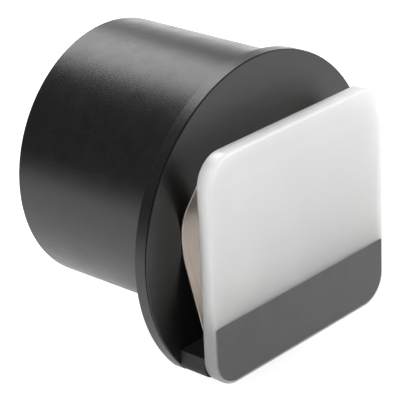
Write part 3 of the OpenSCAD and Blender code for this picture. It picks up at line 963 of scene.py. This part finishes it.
def leaf_path(side):
    """Middle of a leaf spring, from its clamped foot up: the foot, its bend, a leg that leans towards
    the slide, the bow that presses on it, and the lead-in that leans away."""
    foot_steps, leg_steps, bow_steps, lead_steps = 6, 24, 16, 12
    crown_y = LEAF_HI.y - LEAF_T / 2
    leg_top = (crown_y - LEG_BOW_R * (1 - math.cos(LEG_LEAN)),
               LEAF_CROWN_Z - LEG_BOW_R * math.sin(LEG_LEAN))
    low_y = LEAF_FOOT_Y + FOOT_BEND_R * (1 - math.cos(LEG_LEAN))
    low_z = leg_top[1] - (leg_top[0] - low_y) / math.tan(LEG_LEAN)
    lead = (crown_y - LEAD_BOW_R * (1 - math.cos(LEAD_LEAN)),
            LEAF_CROWN_Z + LEAD_BOW_R * math.sin(LEAD_LEAN))
    tip_z = LEAF_HI.z - LEAF_T / 2 * math.sin(LEAD_LEAN)
    tip_y = lead[0] - (tip_z - lead[1]) * math.tan(LEAD_LEAN)
    foot_z = low_z - FOOT_BEND_R * math.sin(LEG_LEAN)

    def between(start, end, count):
        return [(start[0] + (end[0] - start[0]) * i / count, start[1] + (end[1] - start[1]) * i / count)
                for i in range(count)]

    yz = between((LEAF_FOOT_Y, LEAF_LO.z), (LEAF_FOOT_Y, foot_z), foot_steps)
    yz += [(LEAF_FOOT_Y + FOOT_BEND_R * (1 - math.cos(a)), foot_z + FOOT_BEND_R * math.sin(a))
           for a in (LEG_LEAN * i / foot_steps for i in range(foot_steps))]
    yz += between((low_y, low_z), leg_top, leg_steps)
    yz += [(crown_y - LEG_BOW_R * (1 - math.cos(a)), LEAF_CROWN_Z - LEG_BOW_R * math.sin(a))
           for a in (LEG_LEAN * (1 - i / bow_steps) for i in range(bow_steps))]
    yz += [(crown_y - LEAD_BOW_R * (1 - math.cos(a)), LEAF_CROWN_Z + LEAD_BOW_R * math.sin(a))
           for a in (LEAD_LEAN * i / bow_steps for i in range(bow_steps))]
    yz += between(lead, (tip_y, tip_z), lead_steps) + [(tip_y, tip_z)]
    return [(side * LEAF_X, y, z) for y, z in yz]


def leaf_strip(name, side, node):
    """One leaf spring, with its foot clamped to the ledge."""
    points = leaf_path(side)
    mesh = bpy.data.meshes.new(name)
    mesh.from_pydata(points, [(i, i + 1) for i in range(len(points) - 1)], [])
    strip = grow(new_object(name, mesh), STRIP, FINISH["nickel_silver"],
                 Width=LEAF_W, Thickness=LEAF_T, Edge=LEAF_EDGE)
    cut(strip, drill(section(0, LEAF_HOLE_R, -PAST, PAST), [(side * LEAF_X, LEAF_FOOT_Y, PLATE_SCREW_Z)]))
    fit(strip, "holder", "nickel_silver", node)
    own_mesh(strip)
    return strip


def ledge_block():
    """The moulded block on which the slide stands."""
    outline = rounded([(LEDGE_LO.x, LEDGE_LO.z), (LEDGE_HI.x, LEDGE_LO.z), (LEDGE_HI.x, LEDGE_HI.z),
                       (LEDGE_LO.x, LEDGE_HI.z)], [LEDGE_CORNER_R, LEDGE_CORNER_R, 0, 0], 10)
    ledge = plate("ledge_block", [outline], LEDGE_LO.y, LEDGE_HI.y, 0.2)
    step_h, step_depth = LEAF_STEP
    front, above = LEDGE_LO.y - PAST, LEDGE_HI.z + PAST
    for x in (-LEAF_X, LEAF_X):
        left, right = x - LEAF_W / 2 - LEAF_AIR, x + LEAF_W / 2 + LEAF_AIR
        cut(ledge, block((left, front, LEAF_LO.z - LEAF_AIR), (right, LEDGE_LO.y + LEAF_BED, above)),
            block((left, front, LEDGE_HI.z - step_h), (right, LEDGE_LO.y + step_depth, above)))
    cut(ledge, drill(countersink(LEDGE_SCREW_LEN), LEDGE_SEATS, REARWARDS),
        drill(countersink(PLATE_SCREW_LEN), PLATE_SEATS))
    return fit(ledge, "holder", "black_plastic", "slide_ledge")


def opal_plate():
    """The diffuser, with the label's bed sunk in its front."""
    opal = plate("opal_plate", [card()], PLATE_LO.y, PLATE_HI.y, 0.6, 5)
    bed = plate("bed", [card(LABEL_INSET - SEAT, LABEL_HI.z + SEAT)],
                PLATE_LO.y - PAST, PLATE_LO.y + LABEL_BED, 0.0)
    cut(opal, bed, drill(countersink(PLATE_SCREW_LEN), PLATE_SEATS))
    return fit(opal, "holder", "opal_acrylic", "diffuser")


def label_band():
    """The bare label, flush in its bed."""
    label = plate("label_band", [card(LABEL_INSET, LABEL_HI.z)], LABEL_LO.y, LABEL_HI.y, 0.04)
    return fit(label, "holder", "label_grey", "label_plate")


# ---- lock screw

def brass_bush():
    """The threaded boss in the barrel's wall."""
    bore = STUD_R + RUN
    pad_bore = PAD_HI.z + RUN
    shoulder = PAD_HI.x + PAD_TRAVEL + SEAT
    profile = rounded([
        (pad_bore, BUSH_LO.x), (BUSH_NECK_R, BUSH_LO.x), (BUSH_NECK_R, BUSH_SEAT_X),
        (BUSH_HI.z, BUSH_SEAT_X), (BUSH_HI.z, BUSH_HI.x), (bore, BUSH_HI.x), (bore, shoulder),
        (pad_bore, shoulder)],
        [0.05, 0.1, 0.05, 0.05, 0.35, 0.2, 0.05, 0.05])
    return fit(lock_turned("brass_bush", profile), "holder", "brass", "lock_bush")


def nylon_pad():
    """The pad that swivels on the screw's tip and presses on the tube."""
    web = PAD_LO.x + PAD_WEB
    profile = rounded([(0, PAD_LO.x), (PAD_HI.z, PAD_LO.x), (PAD_HI.z, PAD_HI.x), (PAD_BORE_R, PAD_HI.x),
                       (PAD_BORE_R, web), (0, web)], [0, 0.15, 0.15, 0.1, 0.05, 0])
    return fit(lock_turned("nylon_pad", profile), "pad", "nylon", "lock_pad")


def lock_thread():
    """The lock screw's stud with its rolled thread."""
    core = STUD_R - STUD_PITCH / 2
    neck_end = PAD_HI.x + RUN
    grip = STUD_HI.x - STUD_GRIP
    profile = rounded([
        (0, STUD_LO.x), (STUD_NECK_R, STUD_LO.x), (STUD_NECK_R, neck_end), (core, neck_end),
        (core, grip - 0.2), (STUD_R, grip), (STUD_R, STUD_HI.x), (0, STUD_HI.x)],
        [0, 0.1, 0, 0.2, 0, 0, 0.1, 0])
    stud = turned("lock_thread", profile, 64)
    first, last = neck_end + STUD_PITCH / 2, grip - 0.3
    grow(stud, THREAD, FINISH["bright_steel"], Radius=core, Tooth=thin_tooth(STUD_PITCH), Pitch=STUD_PITCH,
         Turns=(last - first) / STUD_PITCH, Start=first, Facets=48)
    stud.data.transform(TO_LOCK_AXIS)
    return fit(stud, "lock_screw", "bright_steel", "lock_stud")


def knurled_knob():
    """The knob, with straight grooves round its rim."""
    axis_r = KNOB_R + KNURL_AXIS
    step = 2 * math.pi / KNURL_COUNT

    def grooved(r, angle):
        off = (angle + step / 2) % step - step / 2
        across = axis_r * math.sin(off)
        if abs(across) >= KNURL_GROOVE_R:
            return r
        floor = axis_r * math.cos(off) - math.sqrt(KNURL_GROOVE_R ** 2 - across ** 2)
        return min(r, floor)

    bore = STUD_R + SEAT
    hub_end, cap = KNOB_LO.x + HUB_LEN, KNOB_HI.x - KNOB_CAP
    dish_outer, dish_inner, dish_floor = KNOB_R - DISH[0], KNOB_R - DISH[1], KNOB_HI.x - DISH[2]
    profile = rounded([
        (bore, KNOB_LO.x), (HUB_R, KNOB_LO.x), (HUB_R, hub_end), (KNOB_R, hub_end), (KNOB_R, KNOB_HI.x),
        (dish_outer, KNOB_HI.x), (dish_inner, dish_floor), (0, dish_floor), (0, cap), (bore, cap)],
        [0.1, 0.15, 0.2, 0.5, 0.5, 0.1, 0.1, 0, 0, 0.1], 5)
    knob = lock_turned("knurled_knob", profile, KNURL_COUNT * 12, grooved)
    return fit(knob, "lock_screw", "black_anodised", "lock_knob", KNOB_ANODISING)


# ---- studio

FLOOR_Z = -KNOB_HI.x - 2        # the lock knob clears it when the barrel is turned
FLOOR_R = 250
BACKDROP_GLOW = 0.75            # what the pale floor adds to its own lit colour, to the camera
MIRRORED_GLOW = 0.5             # and in gloss, where the object's own shadow shows
ROOM_LEFT = 0.1
ROOM_RIGHT = 1.0
ROOM_FADE = (-0.2, 0.7)         # where along X the room turns from dim to pale
ROOM_HIGH = 0.3                 # share of the pale wall's light left above it
WALL_TOP = (0.1, 0.55)          # heights between which the pale wall gives way, as sines
SOFTBOX_AIM = Vector((0, -22, 0))


def studio_floor():
    """A wide pale floor that reads as white and keeps the object's shadow."""
    material = bpy.data.materials.new("pale_floor")
    material.use_nodes = True
    tree = material.node_tree
    tree.nodes.clear()
    paint = add(tree, "ShaderNodeBsdfDiffuse", {"Color": colour("#d9d9d9")})
    rays = add(tree, "ShaderNodeLightPath")
    mirrored = add(tree, "ShaderNodeMath", {
        0: rays.outputs["Is Glossy Ray"], 1: rays.outputs["Is Transmission Ray"]}, operation="MAXIMUM")
    mirrored = add(tree, "ShaderNodeMath", {0: mirrored.outputs[0], 1: MIRRORED_GLOW}, operation="MULTIPLY")
    level = add(tree, "ShaderNodeMath", {
        0: rays.outputs["Is Camera Ray"], 1: BACKDROP_GLOW, 2: mirrored.outputs[0]},
        operation="MULTIPLY_ADD")
    glow = add(tree, "ShaderNodeEmission", {"Color": colour("#ffffff"), "Strength": level.outputs[0]})
    both = add(tree, "ShaderNodeAddShader", {0: paint.outputs["BSDF"], 1: glow.outputs["Emission"]})
    add(tree, "ShaderNodeOutputMaterial", {"Surface": both.outputs["Shader"]})
    floor = new_object("studio_floor", bpy.data.meshes.new("studio_floor"))
    bm = bmesh.new()
    bmesh.ops.create_circle(bm, cap_ends=True, segments=64, radius=FLOOR_R * MM)
    bmesh.ops.translate(bm, verts=bm.verts, vec=(0, 0, FLOOR_Z * MM))
    bm.to_mesh(floor.data)
    bm.free()
    floor.data.materials.append(material)


def softbox(name, direction, distance, width, height, radiance):
    """A lamp panel in a direction from the object, in mm; a radiance of 1 is white."""
    data = bpy.data.lights.new(name, "AREA")
    data.shape = "RECTANGLE"
    data.size = width * MM
    data.size_y = height * MM
    data.energy = radiance * math.pi * width * height * MM * MM
    lamp = bpy.data.objects.new(name, data)
    place = SOFTBOX_AIM + Vector(direction).normalized() * distance
    lamp.matrix_world = (Matrix.Translation(place * MM)
                         @ (place - SOFTBOX_AIM).to_track_quat("Z", "Y").to_matrix().to_4x4())
    scene.collection.objects.link(lamp)


def studio_world():
    """The room: a pale wall on the right, dim on the left, and white where the camera sees it."""
    world = bpy.data.worlds.new("studio")
    scene.world = world
    world.use_nodes = True
    tree = world.node_tree
    tree.nodes.clear()
    direction = add(tree, "ShaderNodeTexCoord").outputs["Generated"]
    side = add(tree, "ShaderNodeSeparateXYZ", {"Vector": direction})
    wall = add(tree, "ShaderNodeMapRange", {
        "Value": side.outputs["Z"], "From Min": WALL_TOP[0], "From Max": WALL_TOP[1],
        "To Min": ROOM_RIGHT, "To Max": ROOM_RIGHT * ROOM_HIGH}, interpolation_type="SMOOTHSTEP")
    room = add(tree, "ShaderNodeMapRange", {
        "Value": side.outputs["X"], "From Min": ROOM_FADE[0], "From Max": ROOM_FADE[1],
        "To Min": ROOM_LEFT, "To Max": wall.outputs["Result"]}, interpolation_type="SMOOTHSTEP")
    seen = add(tree, "ShaderNodeLightPath").outputs["Is Camera Ray"]
    level = add(tree, "ShaderNodeMath", {0: seen, 1: room.outputs["Result"]}, operation="MAXIMUM")
    sky = add(tree, "ShaderNodeBackground", {"Color": colour("#ffffff"), "Strength": level.outputs[0]})
    add(tree, "ShaderNodeOutputWorld", {"Surface": sky.outputs["Background"]})


# ---- all together

photo_camera()

ribbed_tube()
threaded_ring()
grub_screws()
slotted_nut()
knife_baffle()
wire_clip()
nylon_ring()
painted_barrel()
painted_flange()
gate_plate()
screw_set("flange_screw_set", "flange_screws", FLANGE_SCREW_LEN, FLANGE_SEATS, REARWARDS, seed=3)
screw_set("ledge_screw_set", "ledge_screws", LEDGE_SCREW_LEN, LEDGE_SEATS, REARWARDS, seed=5)
screw_set("plate_screw_set", "diffuser_screws", PLATE_SCREW_LEN, PLATE_SEATS, 0.0, seed=8)
ledge_block()
opal_plate()
label_band()
leaf_strip("left_strip", -1, "left_leaf_spring")
leaf_strip("right_strip", 1, "right_leaf_spring")
brass_bush()
nylon_pad()
lock_thread()
knurled_knob()

studio_floor()
studio_world()
softbox("top_softbox", (0.21, 0.5, 0.84), distance=550, width=290, height=600, radiance=3.6)
softbox("low_softbox", (0.79, 0.6, 0.04), distance=500, width=250, height=110, radiance=1.7)
softbox("front_softbox", (0.45, -0.85, 0.28), distance=600, width=450, height=350, radiance=4.7)
softbox("left_softbox", (-0.8, -0.22, 0.56), distance=600, width=300, height=300, radiance=7.5)
scene.view_settings.view_transform = "Standard"
